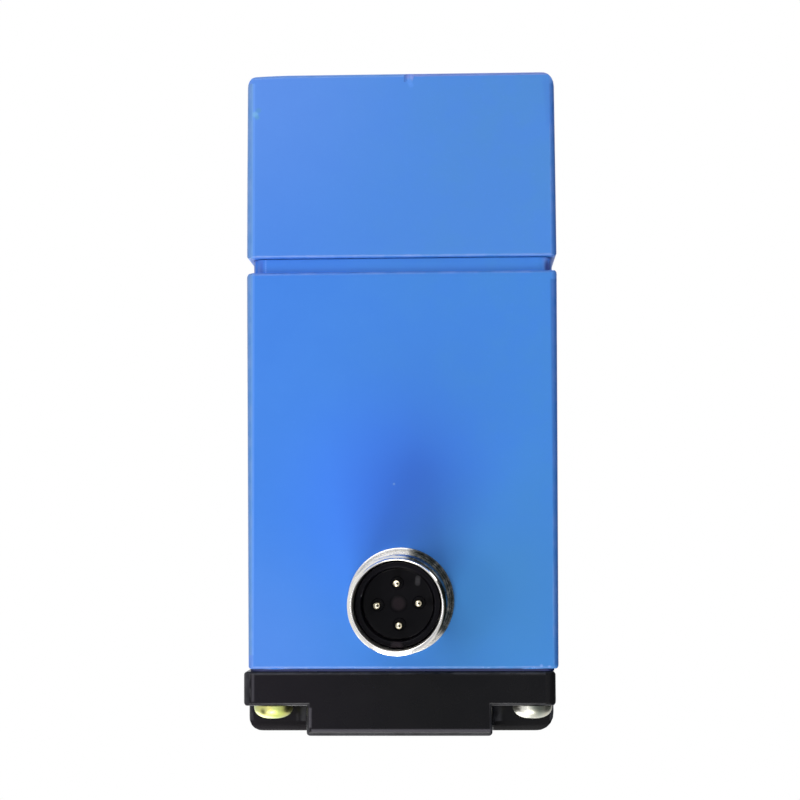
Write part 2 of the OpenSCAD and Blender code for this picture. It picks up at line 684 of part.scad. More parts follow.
// Inner screw whose head is at the back of a board
module board_screw(x, z, seat_y) translate([0, 2 * seat_y, 0]) mirror([0, 1, 0])
    inner_screw(x, z, seat_y, board_screw_l);

module carrier_screws() color(bright_steel) seat() left_and_right()
    for (z = [carrier_screw_z0, carrier_screw_z1]) inner_screw(carrier_screw_x, z, carrier_y0, carrier_screw_l);

// Plano-convex lens with its flat face to the back and a plain cylindrical edge
module lens(z, d, bulge) translate([0, 0, z]) intersection() {
    ball_r = (d * d / 4 + bulge * bulge) / (2 * bulge);
    translate([0, lens_y0 - bulge + ball_r, 0]) sphere(r = ball_r, $fn = 200);
    rod_y(0, 0, d / 2, lens_y0 - bulge - past, lens_y0 + lens_edge_t);
}

module receiver_lens() color(clear_glass) seat() lens(receiver_z, receiver_d, receiver_bulge);
module sender_lens() color(clear_glass) seat() lens(sender_z, sender_d, sender_bulge);

// Rubber wall between sender and receiver, from the glass to the carrier
module light_barrier() color(rubber) seat() {
    barrier_t = 3;
    barrier_z = (receiver_z + receiver_d / 2 + sender_z - sender_d / 2) / 2;
    plain_block(-window_w / 2, window_w / 2, glass_y1, carrier_y0,
        barrier_z - barrier_t / 2, barrier_z + barrier_t / 2);
}

// Block on a board's front or back face, centred on x and z
module on_board(x, y, z, size) translate([x - size.x / 2, y, z - size.z / 2]) cube(size);

module optics_board() color(board_green) seat() difference() {
    plain_block(-optics_board_w / 2, optics_board_w / 2, optics_board_y, optics_board_y + board_t,
        optics_board_z0, optics_board_z1);
    left_and_right() rod_y(post_x, post_z, inner_screw_d / 2 + screw_gap,
        optics_board_y - past, optics_board_y + board_t + past);
}

module optics_board_screws() color(bright_steel) seat()
    left_and_right() board_screw(post_x, post_z, optics_board_y + board_t);

// Round can on a flange, with a domed window, standing on the optics board
module sender_diode() color(bright_steel) seat() {
    flange_d = 5.6;
    flange_t = 1;
    can_d = 4.6;
    can_l = 3;
    dome_d = 2.8;
    rod_y(0, sender_z, flange_d / 2, optics_board_y - flange_t, optics_board_y);
    rod_y(0, sender_z, can_d / 2, optics_board_y - can_l, optics_board_y - flange_t);
    translate([0, optics_board_y - can_l, sender_z]) sphere(d = dome_d);
}

module receiver_diode() color(chip_grey) seat() on_board(0, optics_board_y - diode_size.y, diode_z, diode_size);

// Folded sheet can over the receiver amplifier, open to the board
module receiver_shield() color(solder_tin) seat() difference() {
    y0 = optics_board_y + board_t;
    on_board(0, y0, diode_z, shield_size);
    on_board(0, y0 - past, diode_z, shield_size - [2 * shield_sheet, shield_sheet - past, 2 * shield_sheet]);
}

module main_board() color(board_green) seat() difference() {
    plain_block(-main_board_w / 2, main_board_w / 2, main_board_y, main_board_y + board_t,
        main_board_end, case_h - main_board_end);
    four_corners() rod_y(board_boss_x, board_boss_z, inner_screw_d / 2 + screw_gap,
        main_board_y - past, main_board_y + board_t + past);
}

module main_board_screws() color(bright_steel) seat()
    four_corners() board_screw(board_boss_x, board_boss_z, main_board_y + board_t);

// Flexible tape between the two boards' sockets, in one shallow bow
tape_y0 = optics_board_y + board_t + socket_size.y;
tape_y1 = main_board_y - socket_size.y;
tape_steps = 12;
function tape_point(t, z) = [tape_y0 + (tape_y1 - tape_y0) * t, z + tape_bow * sin(180 * t)];

module link_tape() color([0.70, 0.45, 0.15]) seat() along_x(-tape_w / 2, tape_w / 2) polygon(concat(
    [for (i = [0:tape_steps]) tape_point(i / tape_steps, mid_z - tape_t / 2)],
    [for (i = [tape_steps:-1:0]) tape_point(i / tape_steps, mid_z + tape_t / 2)]
));

module link_sockets() color(chip_grey) seat() {
    on_board(0, optics_board_y + board_t, mid_z, socket_size);
    on_board(0, main_board_y - socket_size.y, mid_z, socket_size);
}

module processor_chip() color(chip_grey) seat() on_board(0, main_board_y + board_t, mid_z, chip_size);

module storage_capacitors() color([0.25, 0.27, 0.36]) seat() for (x = [-capacitor_x, capacitor_x])
    rod_y(x, capacitor_z, capacitor_d / 2, main_board_y + board_t, main_board_y + board_t + capacitor_l);

module voltage_regulator() color(chip_grey) seat()
    on_board(0, main_board_y + board_t, regulator_z, regulator_size);

module indicator_outline(grow) rounded_box(-indicator_w / 2 - grow, indicator_w / 2 + grow,
    indicator_y - indicator_l / 2 - grow, indicator_y + indicator_l / 2 + grow, 0.9 + grow);

// Translucent head in the top wall with two light pipes down to the lamps
module indicator_lens() color([0.80, 0.85, 0.70, 0.7]) seat() {
    head_z0 = case_h - indicator_depth + indicator_seal_t;
    along_z(head_z0, case_h) indicator_outline(0);
    for (x = [-indicator_x, indicator_x])
        rod_z(x, indicator_y, pipe_d / 2, optics_board_z1 + pipe_gap, (head_z0 + case_h) / 2);
}

module indicator_seal() color(rubber) seat()
    along_z(case_h - indicator_depth, case_h - indicator_depth + indicator_seal_t) difference() {
        indicator_outline(0);
        for (x = [-indicator_x, indicator_x]) translate([x, indicator_y]) circle(r = pipe_d / 2 + gap);
    }

module status_leds() color([0.90, 0.85, 0.55]) seat() for (x = [-indicator_x, indicator_x])
    on_board(x, optics_board_y - led_size.y, led_z, led_size);

main_housing();
rear_cover();
rear_cover_seal();
rear_cover_screws();
lens_frame();
front_window();
window_seal();
lens_frame_seal();
lens_frame_screws();
connector_sleeve();
connector_insert();
contact_pins();
connector_o_ring();
connector_nut();
connector_leads();
optics_carrier();
carrier_screws();
sender_lens();
receiver_lens();
light_barrier();
optics_board();
optics_board_screws();
sender_diode();
receiver_diode();
receiver_shield();
main_board();
main_board_screws();
link_tape();
link_sockets();
processor_chip();
storage_capacitors();
voltage_regulator();
indicator_lens();
indicator_seal();
status_leds();
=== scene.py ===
# Diffuse photoelectric sensor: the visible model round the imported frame, in metres.
# The camera is below the sensor and looks up at the face that carries the plug.
import json
import math

import bmesh
import bpy
from mathutils import Matrix, Vector


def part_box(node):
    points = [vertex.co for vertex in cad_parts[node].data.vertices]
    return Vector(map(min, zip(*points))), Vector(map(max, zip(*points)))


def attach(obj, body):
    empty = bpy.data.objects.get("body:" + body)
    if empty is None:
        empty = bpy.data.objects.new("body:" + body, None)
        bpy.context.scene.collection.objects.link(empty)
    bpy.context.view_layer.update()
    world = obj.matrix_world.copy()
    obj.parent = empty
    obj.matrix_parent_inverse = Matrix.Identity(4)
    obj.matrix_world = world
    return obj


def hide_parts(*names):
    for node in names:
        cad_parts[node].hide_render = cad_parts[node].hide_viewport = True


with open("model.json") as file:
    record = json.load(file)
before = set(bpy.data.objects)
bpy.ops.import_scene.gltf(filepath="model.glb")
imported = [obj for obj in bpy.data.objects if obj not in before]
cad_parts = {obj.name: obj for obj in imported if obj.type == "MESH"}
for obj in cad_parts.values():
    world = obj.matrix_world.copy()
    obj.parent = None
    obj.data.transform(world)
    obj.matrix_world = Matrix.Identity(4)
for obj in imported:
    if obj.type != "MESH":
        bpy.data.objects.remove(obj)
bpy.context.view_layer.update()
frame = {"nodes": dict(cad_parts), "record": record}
MM = 0.001
scene = bpy.context.scene

# Places of the case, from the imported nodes
housing_lo, housing_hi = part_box("main_housing")
lens_lo, lens_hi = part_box("lens_frame")
cover_lo, cover_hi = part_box("rear_cover")
sleeve_lo, sleeve_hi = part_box("connector_sleeve")
FACE_Z = housing_lo.z
FRONT_Y = lens_lo.y
HALF_W = housing_hi.x
PLUG = Vector(((sleeve_lo.x + sleeve_hi.x) / 2, (sleeve_lo.y + sleeve_hi.y) / 2, FACE_Z))
HOUSING_FRONT = housing_lo.y
NECK_L = 1.75 * MM
GROOVE_FRONT = housing_hi.y - NECK_L


# ---------------------------------------------------------------- camera

# The photo's picture point, in pixels from its middle, that lies straight above the camera, the lens
# and the photo's width in pixels, the sensor's width, the camera's roll, and its place from the
# middle of the frame's front and from the face
STRAIGHT = (60.0, -137.0)
LENS_PX = 1700.0
PHOTO_PX = 800.0
SENSOR_MM = 36.0
ROLL = math.radians(0.25)
STAND = Vector((-7.32, 25.03, -216.45)) * MM

toward = Vector((STRAIGHT[0], STRAIGHT[1], -LENS_PX)).normalized()
axis_z = -toward
level = Vector((math.cos(ROLL), math.sin(ROLL), 0))
axis_x = (level - axis_z * level.dot(axis_z)).normalized()
axis_y = axis_z.cross(axis_x)
flip = Matrix(((-1, 0, 0), (0, 1, 0), (0, 0, -1)))
turned = flip @ Matrix((axis_x, axis_y, axis_z))
camera_data = bpy.data.cameras.new("camera")
camera_data.sensor_width = SENSOR_MM
camera_data.lens = LENS_PX / PHOTO_PX * SENSOR_MM
camera_data.clip_start = 10 * MM
camera = bpy.data.objects.new("camera", camera_data)
VIEWPOINT = Vector((0, FRONT_Y, FACE_Z)) + STAND
camera.matrix_world = Matrix.Translation(VIEWPOINT) @ turned.to_4x4()
scene.collection.objects.link(camera)
scene.camera = camera


def in_view(px, py, z=FACE_Z):
    """Point at a height that the photo shows at a pixel."""
    ray = turned @ Vector((px - PHOTO_PX / 2, PHOTO_PX / 2 - py, -LENS_PX))
    return VIEWPOINT + ray * ((z - VIEWPOINT.z) / ray.z)


def marks_along(start, end, count, radius, shade, amount, z=FACE_Z):
    """Marks in a row between two pixels."""
    return [(in_view(start[0] + (end[0] - start[0]) * i / (count - 1),
                     start[1] + (end[1] - start[1]) * i / (count - 1), z), radius, shade, amount)
            for i in range(count)]


# ---------------------------------------------------------------- marks and painted light

# Where the dent is, and the heights of the groove's floor, the pockets' upper walls, the cup's floor and
# edge in the plug, the pins' tips and the front screws' heads
DENT_X = in_view(405.5, 76).x
GROOVE_Z = FACE_Z + 0.75 * MM
POCKET_Z = FACE_Z + 6.4 * MM
CUP_FLOOR = FACE_Z - 9.0 * MM
CUP_EDGE = FACE_Z - 12.0 * MM
PIN_TOP_Z = FACE_Z - 12.55 * MM
HEAD_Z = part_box("lens_frame_screws")[0].z + 0.6 * MM

# Marks, painted shade and painted highlights at their pixels in the photo: place, radius, colour and
# strength
BLUE_MARKS_AND_SHADING = (
    [(in_view(255.4, 114.5), 0.55 * MM, (0.22, 0.55, 0.74), 0.5),
     (in_view(258.5, 110.5), 0.50 * MM, (0.08, 0.30, 0.55), 0.5),
     (in_view(257.0, 117.5), 0.45 * MM, (0.10, 0.36, 0.56), 0.5),
     (in_view(394.0, 484.0), 0.22 * MM, (0.22, 0.46, 0.88), 0.7),
     (in_view(541.5, 665.8), 0.28 * MM, (0.34, 0.50, 0.92), 0.45),
     (in_view(549.5, 667.0), 0.30 * MM, (0.34, 0.50, 0.92), 0.45)]
    # Painted shade and painted highlight on the two walls of the dent
    + marks_along((404.8, 75), (404.8, 81), 4, 0.22 * MM, (0.022, 0.09, 0.42), 0.65)
    + marks_along((408, 79), (411, 85), 3, 0.50 * MM, (0.12, 0.36, 0.94), 0.25)
    # Painted shade on the cover's rounded -X edge near its rear
    + marks_along((546.5, 80), (550.5, 124), 14, 0.85 * MM, (0.030, 0.14, 0.58), 0.11)
    # Painted shadow in the groove at -X, and painted shade and a painted highlight line on the neck's corner
    # at +X
    + marks_along((548, 263), (548, 274), 5, 0.75 * MM, (0.010, 0.018, 0.18), 0.5, GROOVE_Z + 0.35 * MM)
    + marks_along((257, 263), (257, 273), 5, 0.50 * MM, (0.045, 0.13, 0.50), 0.35, GROOVE_Z)
    + marks_along((261.5, 263), (261.5, 273), 5, 0.45 * MM, (0.040, 0.12, 0.56), 0.35, GROOVE_Z)
    + marks_along((265.7, 261), (265.7, 274), 8, 0.16 * MM, (0.20, 0.42, 0.96), 0.5, GROOVE_Z)
)
BLACK_MARKS = [(in_view(535.6, 685.8), 0.22 * MM, (0.12, 0.13, 0.13), 0.9)]
INSERT_SPOTS_AND_GLINTS = (
    [(Vector((PLUG.x, PLUG.y, CUP_FLOOR)), 1.0 * MM, (0.022, 0.015, 0.019), 0.9),
     (in_view(396.6, 646.0, CUP_EDGE), 0.9 * MM, (0.024, 0.018, 0.022), 0.8)]
    # Painted reflection on the cup's floor, and painted highlights along the cup's edge on both sides
    + marks_along((418.0, 578.2), (417.6, 583.0), 3, 0.42 * MM, (0.075, 0.073, 0.080), 0.6, CUP_FLOOR)
    + marks_along((361.8, 596.0), (365.0, 589.0), 5, 0.17 * MM, (0.15, 0.15, 0.16), 0.7, CUP_EDGE)
    + marks_along((434.5, 606.0), (422.0, 632.0), 12, 0.13 * MM, (0.045, 0.044, 0.052), 0.6, CUP_EDGE)
)
PIN_TOPS = ((397.6, 583.4), (377.4, 605.6), (419.1, 603.5), (399.3, 626.0))
# Painted dark reflection in the middle of each pin's tip
PIN_TIP_SHADE = [(in_view(px, py, PIN_TOP_Z), 0.20 * MM, (0.03, 0.02, 0.01), 0.95) for px, py in PIN_TOPS]
# Painted highlights and painted shade on the heads of the front screws
ZINC_HIGHLIGHTS_AND_SHADE = [
    (in_view(278, 712.5, HEAD_Z), 1.4 * MM, (0.68, 0.76, 0.18), 0.7),
    (in_view(264, 711, HEAD_Z), 0.6 * MM, (0.06, 0.07, 0.02), 0.9),
    (in_view(290, 708, HEAD_Z), 1.0 * MM, (0.08, 0.09, 0.04), 0.9),
    (in_view(538, 706, HEAD_Z), 1.6 * MM, (0.08, 0.09, 0.07), 0.9),
    (in_view(524, 712, HEAD_Z), 1.3 * MM, (0.84, 0.82, 0.75), 0.8),
    (in_view(513, 711, HEAD_Z), 0.6 * MM, (0.25, 0.20, 0.08), 0.7),
]


# ---------------------------------------------------------------- meshes

def smooth(mesh, angle=30):
    """Smooth shading with sharp edges above the angle, in degrees."""
    bm = bmesh.new()
    bm.from_mesh(mesh)
    for face in bm.faces:
        face.smooth = True
    for edge in bm.edges:
        edge.smooth = len(edge.link_faces) == 2 and edge.calc_face_angle(0) < math.radians(angle)
    bm.to_mesh(mesh)
    bm.free()
    return mesh


# Points nearer than this become one, and faces that bend less than this, in degrees, count as flat
WELD = 0.002 * MM
FLAT_ANGLE = 0.5


def node_copy(name, node):
    """Welded copy of a node's mesh with its flat faces in one piece each."""
    mesh = frame["nodes"][node].data.copy()
    mesh.name = name
    mesh.materials.clear()
    bm = bmesh.new()
    bm.from_mesh(mesh)
    bmesh.ops.remove_doubles(bm, verts=bm.verts, dist=WELD)
    bmesh.ops.dissolve_limit(bm, angle_limit=math.radians(FLAT_ANGLE), verts=bm.verts, edges=bm.edges)
    bm.to_mesh(mesh)
    bm.free()
    normals = mesh.attributes.get("custom_normal")
    if normals:
        mesh.attributes.remove(normals)
    return mesh


# Rounded edges: the bend in degrees from which an edge is rounded, its steps, and how strongly large
# faces keep the shading flat
ROUND_FROM = 40
ROUND_STEPS = 2
FLAT_WEIGHT = 80


def soften(piece, width):
    """Small rounding on all sharp edges, with flat faces kept flat."""
    bevel = piece.modifiers.new("edges", "BEVEL")
    bevel.width = width
    bevel.segments = ROUND_STEPS
    bevel.limit_method = "ANGLE"
    bevel.angle_limit = math.radians(ROUND_FROM)
    bevel.harden_normals = False
    normals = piece.modifiers.new("normals", "WEIGHTED_NORMAL")
    normals.keep_sharp = True
    normals.weight = FLAT_WEIGHT


def revolve(rings, count, centre, closed=False):
    """Mesh round a vertical axis; each ring is one (radius, z) or a list of them, one for each angle."""
    points, faces = [], []
    angles = [2 * math.pi * i / count for i in range(count)]
    starts = []
    for ring in rings:
        starts.append(len(points))
        if isinstance(ring, tuple) and ring[0] == 0:
            points.append((centre.x, centre.y, centre.z + ring[1]))
            continue
        pairs = ring if isinstance(ring, list) else [ring] * count
        for (r, z), a in zip(pairs, angles):
            points.append((centre.x + r * math.cos(a), centre.y + r * math.sin(a), centre.z + z))
    sizes = [b - a for a, b in zip(starts, starts[1:] + [len(points)])]
    steps = list(range(len(rings) - 1)) + ([len(rings) - 1] if closed else [])
    for i in steps:
        j = (i + 1) % len(rings)
        for k in range(count):
            m = (k + 1) % count
            if sizes[i] == 1:
                faces.append((starts[i], starts[j] + m, starts[j] + k))
            elif sizes[j] == 1:
                faces.append((starts[i] + k, starts[i] + m, starts[j]))
            else:
                faces.append((starts[i] + k, starts[i] + m, starts[j] + m, starts[j] + k))
    mesh = bpy.data.meshes.new("revolved")
    mesh.from_pydata(points, [], faces)
    bm = bmesh.new()
    bm.from_mesh(mesh)
    bmesh.ops.recalc_face_normals(bm, faces=bm.faces)
    bm.to_mesh(mesh)
    bm.free()
    return mesh


def joined(name, meshes):
    """One mesh from several."""
    bm = bmesh.new()
    for mesh in meshes:
        bm.from_mesh(mesh)
    result = bpy.data.meshes.new(name)
    bm.to_mesh(result)
    bm.free()
    return result


def moved(mesh, matrix):
    """Copy of a mesh in another place."""
    result = mesh.copy()
    result.transform(matrix)
    return result


def prism(outline, z0, z1, edge_r):
    """Upright prism over an outline in X and Y, with its lower edge rounded."""
    bm = bmesh.new()
    low = [bm.verts.new((x, y, z0)) for x, y in outline]
    high = [bm.verts.new((x, y, z1)) for x, y in outline]
    bm.faces.new(low)
    bm.faces.new(high[::-1])
    for i in range(len(outline)):
        j = (i + 1) % len(outline)
        bm.faces.new((low[i], high[i], high[j], low[j]))
    bmesh.ops.recalc_face_normals(bm, faces=bm.faces)
    rim = [e for e in bm.edges if all(v in low for v in e.verts)]
    bmesh.ops.bevel(bm, geom=rim, offset=edge_r, segments=2, profile=0.5, affect="EDGES")
    mesh = bpy.data.meshes.new("prism")
    bm.to_mesh(mesh)
    bm.free()
    return mesh


def arc_points(c, r, a0, a1, count):
    """Points of an arc in the (radius, z) plane, angles in degrees."""
    return [(c[0] + r * math.cos(math.radians(a0 + (a1 - a0) * i / count)),
             c[1] + r * math.sin(math.radians(a0 + (a1 - a0) * i / count))) for i in range(count + 1)]


def cut(target, cutter):
    """Target mesh minus the cutter mesh."""
    a = bpy.data.objects.new("target", target)
    b = bpy.data.objects.new("cutter", cutter)
    scene.collection.objects.link(a)
    scene.collection.objects.link(b)
    boolean = a.modifiers.new("cut", "BOOLEAN")
    boolean.operation = "DIFFERENCE"
    boolean.solver = "EXACT"
    boolean.object = b
    result = bpy.data.meshes.new_from_object(a.evaluated_get(bpy.context.evaluated_depsgraph_get()))
    bpy.data.objects.remove(a)
    bpy.data.objects.remove(b)
    return result


# ---------------------------------------------------------------- materials

# A patch reaches this far up from its side, and then fades out up to the second height
PATCH_REACH = 0.7 * MM
PATCH_END = 1.0 * MM


class Graph:
    """Short way to write the nodes of a material or of the world."""

    def __init__(self, owner, place="Object"):
        self.owner = owner
        owner.use_nodes = True
        self.tree = owner.node_tree
        self.place = self.node("ShaderNodeTexCoord").outputs[place]

    def node(self, kind, inputs=None, **settings):
        made = self.tree.nodes.new(kind)
        for key, value in settings.items():
            setattr(made, key, value)
        for key, value in (inputs or {}).items():
            self.feed(made.inputs[key], value)
        return made

    def feed(self, socket, value):
        if isinstance(value, bpy.types.NodeSocket):
            self.tree.links.new(value, socket)
        elif isinstance(value, tuple) and len(value) == 3 and socket.type == "RGBA":
            socket.default_value = (*value, 1)
        else:
            socket.default_value = value

    def noise(self, size, detail=2, rough=0.5, vector=None, distortion=0.0):
        """Noise whose grains are about as large as size, in metres."""
        return self.node("ShaderNodeTexNoise", {
            "Vector": vector or self.place, "Scale": 1 / size, "Detail": detail,
            "Roughness": rough, "Distortion": distortion}).outputs["Fac"]

    def math(self, operation, a, b, clamp=False):
        return self.node("ShaderNodeMath", {0: a, 1: b}, operation=operation, use_clamp=clamp).outputs[0]

    def vector(self, operation, *values):
        """Outputs of a calculation with vectors: "Vector", or "Value" where it gives one number."""
        return self.node("ShaderNodeVectorMath", dict(enumerate(values)), operation=operation).outputs

    def ramp(self, value, low, high, to_low=0.0, to_high=1.0):
        """Value between low and high, spread from to_low to to_high and held there."""
        return self.node("ShaderNodeMapRange", {
            "Value": value, "From Min": low, "From Max": high, "To Min": to_low, "To Max": to_high},
            interpolation_type="SMOOTHSTEP").outputs[0]

    def spread(self, noise, to_low=0.0, to_high=1.0):
        """The usual range of a noise, spread from to_low to to_high."""
        return self.ramp(noise, 0.3, 0.7, to_low, to_high)

    def mix(self, factor, a, b):
        mixed = self.node("ShaderNodeMix", data_type="RGBA")
        self.feed(mixed.inputs["Factor"], factor)
        self.feed(mixed.inputs[6], a)
        self.feed(mixed.inputs[7], b)
        return mixed.outputs[2]

    def axis(self, index):
        return self.node("ShaderNodeSeparateXYZ", {0: self.place}).outputs[index]

    def spot(self, centre, radius, soft):
        """1 in a ball round a place and 0 outside it; soft is the share of the radius that fades out."""
        distance = self.vector("DISTANCE", self.place, tuple(centre))["Value"]
        return self.ramp(distance, radius * (1 - soft), radius, 1.0, 0.0)

    def edges(self, low=1.08, high=1.34):
        """1 on the rounded edges of a block that lies along the axes, 0 on its flat faces."""
        normal = self.node("ShaderNodeNewGeometry").outputs["Normal"]
        size = self.vector("ABSOLUTE", normal)["Vector"]
        total = self.vector("DOT_PRODUCT", size, (1, 1, 1))["Value"]
        return self.ramp(total, low, high)

    def band(self, index, low, high, soft):
        """1 between two places along an axis and 0 outside them."""
        rise = self.ramp(self.axis(index), low - soft, low)
        fall = self.ramp(self.axis(index), high, high + soft, 1.0, 0.0)
        return self.math("MULTIPLY", rise, fall)

    def patch(self, left, top, right, bottom, soft, z=FACE_Z):
        """1 on the side at a height that faces down, inside a rectangle of the photo, in pixels."""
        a = in_view(right, bottom, z)
        b = in_view(left, top, z)
        inside = self.math("MULTIPLY", self.band(0, a.x, b.x, soft), self.band(1, a.y, b.y, soft))
        low = self.ramp(self.axis(2), z + PATCH_REACH, z + PATCH_END, 1.0, 0.0)
        return self.math("MULTIPLY", inside, low)

    def marks(self, colour, rows, soft=0.7):
        """Colour with marks, painted shade or painted highlights on it: rows of place, radius, colour and
        strength.
        """
        for place, radius, shade, amount in rows:
            mark = self.math("MULTIPLY", self.spot(place, radius, soft), amount)
            colour = self.mix(mark, colour, shade)
        return colour

    def bump(self, height, depth, strength=0.5):
        return self.node("ShaderNodeBump", {
            "Height": height, "Distance": depth, "Strength": strength}).outputs["Normal"]

    def finish(self, colour, roughness, normal, **others):
        """Gives the surface its values and returns the material."""
        values = {"Base_Color": colour, "Roughness": roughness, "Normal": normal, **others}
        surface = self.tree.nodes["Principled BSDF"]
        for key, value in values.items():
            self.feed(surface.inputs[key.replace("_", " ")], value)
        return self.owner


def material(name):
    return Graph(bpy.data.materials.new(name))


def blue_paint():
    g = material("blue_paint")
    wide = g.noise(28 * MM, 2)
    fine = g.noise(0.5 * MM, 3, 0.6)
    # Painted light: bluer towards +X and greener towards -X
    colour = g.mix(g.ramp(g.axis(0), -HALF_W, HALF_W), (0.038, 0.232, 0.63), (0.038, 0.222, 0.76))
    colour = g.mix(g.spread(wide, 0, 0.35), colour, (0.046, 0.240, 0.77))
    colour = g.mix(g.ramp(fine, 0.55, 0.75, 0, 0.25), colour, (0.06, 0.26, 0.82))
    mottled = g.noise(5 * MM, 3, 0.6)
    colour = g.mix(g.ramp(mottled, 0.35, 0.65, 0, 0.35), colour, (0.034, 0.212, 0.74))
    # Painted sheen: the cover is a little paler, most at its rear on the +X side, and the housing at its
    # front there
    painted_sheen = g.ramp(g.axis(1), cover_lo.y, cover_lo.y + 0.2 * MM, 0, 0.022)
    for y, radius, amount in ((cover_hi.y, 26 * MM, 0.028), (HOUSING_FRONT, 22 * MM, 0.035)):
        corner = g.spot((HALF_W, y, FACE_Z), radius, 0.9)
        painted_sheen = g.math("ADD", painted_sheen, g.math("MULTIPLY", corner, amount))
    colour = g.mix(painted_sheen, colour, (0.75, 0.80, 0.85))
    # Painted shadow: deeper blue behind the plug where its shadow falls, and painted shade near the front on
    # the -X side
    plug_shadow = g.spot((PLUG.x + 1 * MM, PLUG.y + 13 * MM, FACE_Z), 20 * MM, 0.95)
    colour = g.mix(g.math("MULTIPLY", plug_shadow, 0.75), colour, (0.036, 0.203, 0.92))
    side_shade = g.spot((-0.6 * HALF_W, HOUSING_FRONT + 10 * MM, FACE_Z), 20 * MM, 0.9)
    colour = g.mix(g.math("MULTIPLY", side_shade, 0.7), colour, (0.040, 0.232, 0.54))
    # Edges lighter with rubbed paint and painted highlight: the rear one with a painted highlight in two
    # shades on both sides of the dent, the +X one with a painted highlight line, the -X one with painted
    # shade
    edges = g.edges()
    rubbed_and_sheen = g.math("MULTIPLY", edges, g.spread(g.noise(2.5 * MM, 3, 0.6), 0.05, 0.22))
    colour = g.mix(rubbed_and_sheen, colour, (0.50, 0.55, 0.85))
    rear_sheen_share = g.ramp(g.axis(1), cover_hi.y - 0.9 * MM, cover_hi.y - 0.6 * MM, 0, 0.45)
    rear = g.math("MULTIPLY", edges, rear_sheen_share)
    dent_side = g.ramp(g.axis(0), DENT_X - 0.2 * MM, DENT_X + 0.2 * MM)
    colour = g.mix(rear, colour, g.mix(dent_side, (0.27, 0.29, 0.70), (0.16, 0.40, 0.88)))
    for rectangle, soft, amount, shade in (
            ((247.5, 84, 251.4, 655), 0.08 * MM, 0.30, (0.20, 0.38, 0.40)),
            ((252.3, 84, 253.4, 655), 0.08 * MM, 0.25, (0.20, 0.46, 1.0)),
            ((550.8, 84, 559, 256), 0.30 * MM, 0.55, (0.014, 0.105, 0.40)),
            ((551.5, 280, 560, 664), 0.30 * MM, 0.55, (0.014, 0.105, 0.40))):
        colour = g.mix(g.math("MULTIPLY", g.patch(*rectangle, soft), amount), colour, shade)
    # Chips along the edge at the lens frame
    edge = g.ramp(g.axis(1), HOUSING_FRONT + 0.2 * MM, HOUSING_FRONT + 0.6 * MM, 1.0, 0.0)
    chips = g.math("MULTIPLY", edge, g.ramp(g.noise(0.8 * MM, 3, 0.8), 0.58, 0.66, 0, 0.42))
    colour = g.mix(chips, colour, (0.36, 0.52, 0.90))
    colour = g.marks(colour, BLUE_MARKS_AND_SHADING)
    grain = g.math("ADD", g.math("MULTIPLY", g.noise(0.9 * MM, 2), 0.7), g.math("MULTIPLY", fine, 0.3))
    rough = g.spread(wide, 0.36, 0.46)
    return g.finish(colour, rough, g.bump(grain, 0.012 * MM, 0.6), Specular_IOR_Level=0.40)


DULL_EDGE = 0.08 * MM


def black_frame():
    g = material("black_frame")
    wide = g.noise(9 * MM, 3)
    fine = g.noise(0.35 * MM, 2)
    colour = g.mix(g.ramp(wide, 0.35, 0.65), (0.0018, 0.0018, 0.0026), (0.0030, 0.0028, 0.0034))
    # Painted light: lighter and more purple towards +X
    colour = g.mix(g.ramp(g.axis(0), -4 * MM, HALF_W), colour, (0.0062, 0.0046, 0.0072))
    # The lower edges of the two steps and the flange's end towards -X stay dull
    dull = g.patch(546, 673, 557, 704, DULL_EDGE)
    for rectangle in ((240, 721, 306, 734), (494, 721, 560, 734)):
        dull = g.math("ADD", dull, g.patch(*rectangle, DULL_EDGE, POCKET_Z))
    # Edges lighter with rubbing and with painted highlight, except where dull
    rubbed_and_sheen = g.math("MULTIPLY", g.edges(1.22, 1.40), g.spread(g.noise(2.5 * MM, 3, 0.6), 0.2, 0.7))
    rubbed_and_sheen = g.math("MULTIPLY", rubbed_and_sheen, g.math("SUBTRACT", 1.0, dull, clamp=True))
    colour = g.mix(rubbed_and_sheen, colour, (0.060, 0.060, 0.066))
    # Painted highlight lines on the corners of the flange and of the tongue towards +X, and on the tongue's
    # front edge
    for rectangle, amount in (((252.4, 675, 252.9, 701), 0.55), ((309.6, 709, 310.4, 727), 0.7),
                              ((312, 730.5, 490, 731.5), 0.9)):
        highlight_line = g.math("MULTIPLY", g.patch(*rectangle, 0.24 * MM), amount)
        colour = g.mix(highlight_line, colour, (0.090, 0.084, 0.095))
    rough = g.math("ADD", g.spread(wide, 0.23, 0.31), g.math("MULTIPLY", dull, 0.35))
    return g.finish(g.marks(colour, BLACK_MARKS), rough,
                    g.bump(fine, 0.003 * MM), Specular_IOR_Level=0.14)


def insert_plastic():
    g = material("insert_plastic")
    wide = g.noise(4 * MM, 3)
    fine = g.noise(0.4 * MM, 2)
    colour = g.mix(g.ramp(wide, 0.35, 0.65), (0.0010, 0.0007, 0.0022), (0.0016, 0.0012, 0.0030))
    return g.finish(g.marks(colour, INSERT_SPOTS_AND_GLINTS, 0.5), g.spread(wide, 0.28, 0.40),
                    g.bump(fine, 0.004 * MM), Specular_IOR_Level=0.09)


def plastic(name, colour, roughness, vary=0.35, **others):
    g = material(name)
    wide = g.noise(6 * MM, 3)
    other = tuple(c * (1 + vary) + 0.002 for c in colour)
    return g.finish(g.mix(g.spread(wide), colour, other),
                    g.spread(wide, roughness - 0.06, roughness + 0.06),
                    g.bump(g.noise(0.5 * MM, 2), 0.008 * MM), **others)


def metal(name, colour, roughness, spots=()):
    g = material(name)
    wide = g.noise(3 * MM, 3)
    shade = g.mix(g.ramp(wide, 0.4, 0.8, 0, 0.25), colour, (0.5, 0.5, 0.5))
    shade = g.marks(shade, spots, 0.4)
    streaks = g.noise(0.3 * MM, 3, 0.6)
    rough = g.spread(streaks, roughness - 0.05, roughness + 0.07)
    return g.finish(shade, rough, g.bump(streaks, 0.002 * MM), Metallic=1.0)


